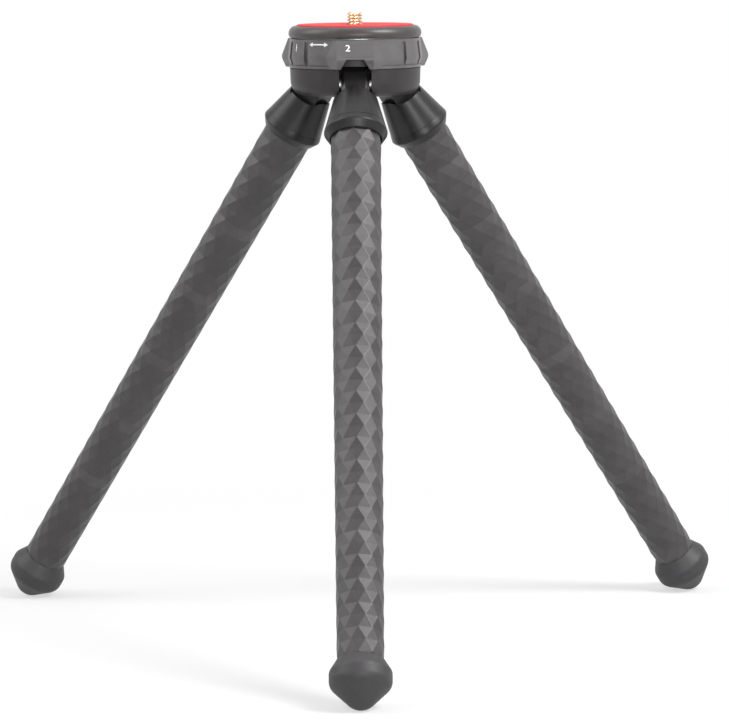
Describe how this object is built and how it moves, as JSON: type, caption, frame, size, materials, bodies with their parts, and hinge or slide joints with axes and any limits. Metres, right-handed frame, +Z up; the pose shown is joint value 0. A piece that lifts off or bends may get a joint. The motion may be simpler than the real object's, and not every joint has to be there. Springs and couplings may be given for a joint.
{
  "type": "tabletop tripod",
  "caption": "Tabletop tripod with a round hub, turning selector ring, camera screw on a red pad, and hinged bendable rubber legs with pointed feet.",
  "frame": {"origin": "on the floor, straight below the camera screw's axis, with the tripod standing on its feet", "axes": "+Z up along the camera screw; the front leg points along -Y, and the other legs stand to the right rear and left rear"},
  "size_m": [0.3046, 0.267, 0.2552],
  "materials": {
    "hub_plastic": "satin",
    "ring_plastic": "satin",
    "leg_plastic": "satin",
    "red_pad": "matte",
    "gold_metal": "polished",
    "steel": "satin",
    "sleeve_rubber": "matte",
    "foot_rubber": "matte",
    "link_plastic": "matte"
  },
  "bodies": {
    "hub": {"hub_base": "hub_plastic", "hub_core": "hub_plastic", "ring_spring_washer": "steel", "top_plate": "hub_plastic", "top_pad": "red_pad", "camera_screw": "gold_metal", "base_screws": "steel", "plate_screws": "steel", "hinge_washers": "steel", "front_hinge_pin": "steel", "right_hinge_pin": "steel", "left_hinge_pin": "steel"},
    "selector_ring": {"selector_ring": "ring_plastic"},
    "front_leg": {"front_cap": "leg_plastic", "front_collar": "leg_plastic", "front_sleeve": "sleeve_rubber"},
    "front_link_1": {"front_link_1": "link_plastic"},
    "front_link_2": {"front_link_2": "link_plastic"},
    "front_link_3": {"front_link_3": "link_plastic"},
    "front_link_4": {"front_link_4": "link_plastic"},
    "front_link_5": {"front_link_5": "link_plastic"},
    "front_link_6": {"front_link_6": "link_plastic"},
    "front_link_7": {"front_link_7": "link_plastic", "front_foot": "foot_rubber"},
    "right_leg": {"right_cap": "leg_plastic", "right_collar": "leg_plastic", "right_sleeve": "sleeve_rubber"},
    "right_link_1": {"right_link_1": "link_plastic"},
    "right_link_2": {"right_link_2": "link_plastic"},
    "right_link_3": {"right_link_3": "link_plastic"},
    "right_link_4": {"right_link_4": "link_plastic"},
    "right_link_5": {"right_link_5": "link_plastic"},
    "right_link_6": {"right_link_6": "link_plastic"},
    "right_link_7": {"right_link_7": "link_plastic", "right_foot": "foot_rubber"},
    "left_leg": {"left_cap": "leg_plastic", "left_collar": "leg_plastic", "left_sleeve": "sleeve_rubber"},
    "left_link_1": {"left_link_1": "link_plastic"},
    "left_link_2": {"left_link_2": "link_plastic"},
    "left_link_3": {"left_link_3": "link_plastic"},
    "left_link_4": {"left_link_4": "link_plastic"},
    "left_link_5": {"left_link_5": "link_plastic"},
    "left_link_6": {"left_link_6": "link_plastic"},
    "left_link_7": {"left_link_7": "link_plastic", "left_foot": "foot_rubber"}
  },
  "joints": [
    {"name": "selector_ring_turn", "type": "hinge", "parent": "hub", "child": "selector_ring", "pos_m": [0, 0, 0.23814], "axis": [0, 0, -1], "range_deg": [-60, 0]},
    {"name": "front_leg_fold", "type": "hinge", "parent": "hub", "child": "front_leg", "pos_m": [0, -0.0175, 0.22624], "axis": [-1, 0, 0], "range_deg": [-34, 46]},
    {"name": "front_bend_1", "type": "hinge", "parent": "front_leg", "child": "front_link_1", "pos_m": [0, -0.03109, 0.20609], "axis": [1, 0, 0], "range_deg": [-20, 20], "deforming": ["front_sleeve"]},
    {"name": "front_bend_2", "type": "hinge", "parent": "front_link_1", "child": "front_link_2", "pos_m": [0, -0.04954, 0.17873], "axis": [1, 0, 0], "range_deg": [-20, 20], "deforming": ["front_sleeve"]},
    {"name": "front_bend_3", "type": "hinge", "parent": "front_link_2", "child": "front_link_3", "pos_m": [0, -0.068, 0.15138], "axis": [1, 0, 0], "range_deg": [-20, 20], "deforming": ["front_sleeve"]},
    {"name": "front_bend_4", "type": "hinge", "parent": "front_link_3", "child": "front_link_4", "pos_m": [0, -0.08645, 0.12402], "axis": [1, 0, 0], "range_deg": [-20, 20], "deforming": ["front_sleeve"]},
    {"name": "front_bend_5", "type": "hinge", "parent": "front_link_4", "child": "front_link_5", "pos_m": [0, -0.1049, 0.09666], "axis": [1, 0, 0], "range_deg": [-20, 20], "deforming": ["front_sleeve"]},
    {"name": "front_bend_6", "type": "hinge", "parent": "front_link_5", "child": "front_link_6", "pos_m": [0, -0.12336, 0.0693], "axis": [1, 0, 0], "range_deg": [-20, 20], "deforming": ["front_sleeve"]},
    {"name": "front_bend_7", "type": "hinge", "parent": "front_link_6", "child": "front_link_7", "pos_m": [0, -0.14181, 0.04194], "axis": [1, 0, 0], "range_deg": [-20, 20], "deforming": ["front_sleeve"]},
    {"name": "right_leg_fold", "type": "hinge", "parent": "hub", "child": "right_leg", "pos_m": [0.01516, 0.00875, 0.22624], "axis": [0.5, -0.866, 0], "range_deg": [-34, 46]},
    {"name": "right_bend_1", "type": "hinge", "parent": "right_leg", "child": "right_link_1", "pos_m": [0.02692, 0.01554, 0.20609], "axis": [-0.5, 0.866, 0], "range_deg": [-20, 20], "deforming": ["right_sleeve"]},
    {"name": "right_bend_2", "type": "hinge", "parent": "right_link_1", "child": "right_link_2", "pos_m": [0.0429, 0.02477, 0.17873], "axis": [-0.5, 0.866, 0], "range_deg": [-20, 20], "deforming": ["right_sleeve"]},
    {"name": "right_bend_3", "type": "hinge", "parent": "right_link_2", "child": "right_link_3", "pos_m": [0.05889, 0.034, 0.15138], "axis": [-0.5, 0.866, 0], "range_deg": [-20, 20], "deforming": ["right_sleeve"]},
    {"name": "right_bend_4", "type": "hinge", "parent": "right_link_3", "child": "right_link_4", "pos_m": [0.07487, 0.04322, 0.12402], "axis": [-0.5, 0.866, 0], "range_deg": [-20, 20], "deforming": ["right_sleeve"]},
    {"name": "right_bend_5", "type": "hinge", "parent": "right_link_4", "child": "right_link_5", "pos_m": [0.09085, 0.05245, 0.09666], "axis": [-0.5, 0.866, 0], "range_deg": [-20, 20], "deforming": ["right_sleeve"]},
    {"name": "right_bend_6", "type": "hinge", "parent": "right_link_5", "child": "right_link_6", "pos_m": [0.10683, 0.06168, 0.0693], "axis": [-0.5, 0.866, 0], "range_deg": [-20, 20], "deforming": ["right_sleeve"]},
    {"name": "right_bend_7", "type": "hinge", "parent": "right_link_6", "child": "right_link_7", "pos_m": [0.12281, 0.0709, 0.04194], "axis": [-0.5, 0.866, 0], "range_deg": [-20, 20], "deforming": ["right_sleeve"]},
    {"name": "left_leg_fold", "type": "hinge", "parent": "hub", "child": "left_leg", "pos_m": [-0.01516, 0.00875, 0.22624], "axis": [0.5, 0.866, 0], "range_deg": [-34, 46]},
    {"name": "left_bend_1", "type": "hinge", "parent": "left_leg", "child": "left_link_1", "pos_m": [-0.02692, 0.01554, 0.20609], "axis": [-0.5, -0.866, 0], "range_deg": [-20, 20], "deforming": ["left_sleeve"]},
    {"name": "left_bend_2", "type": "hinge", "parent": "left_link_1", "child": "left_link_2", "pos_m": [-0.0429, 0.02477, 0.17873], "axis": [-0.5, -0.866, 0], "range_deg": [-20, 20], "deforming": ["left_sleeve"]},
    {"name": "left_bend_3", "type": "hinge", "parent": "left_link_2", "child": "left_link_3", "pos_m": [-0.05889, 0.034, 0.15138], "axis": [-0.5, -0.866, 0], "range_deg": [-20, 20], "deforming": ["left_sleeve"]},
    {"name": "left_bend_4", "type": "hinge", "parent": "left_link_3", "child": "left_link_4", "pos_m": [-0.07487, 0.04322, 0.12402], "axis": [-0.5, -0.866, 0], "range_deg": [-20, 20], "deforming": ["left_sleeve"]},
    {"name": "left_bend_5", "type": "hinge", "parent": "left_link_4", "child": "left_link_5", "pos_m": [-0.09085, 0.05245, 0.09666], "axis": [-0.5, -0.866, 0], "range_deg": [-20, 20], "deforming": ["left_sleeve"]},
    {"name": "left_bend_6", "type": "hinge", "parent": "left_link_5", "child": "left_link_6", "pos_m": [-0.10683, 0.06168, 0.0693], "axis": [-0.5, -0.866, 0], "range_deg": [-20, 20], "deforming": ["left_sleeve"]},
    {"name": "left_bend_7", "type": "hinge", "parent": "left_link_6", "child": "left_link_7", "pos_m": [-0.12281, 0.0709, 0.04194], "axis": [-0.5, -0.866, 0], "range_deg": [-20, 20], "deforming": ["left_sleeve"]}
  ]
}
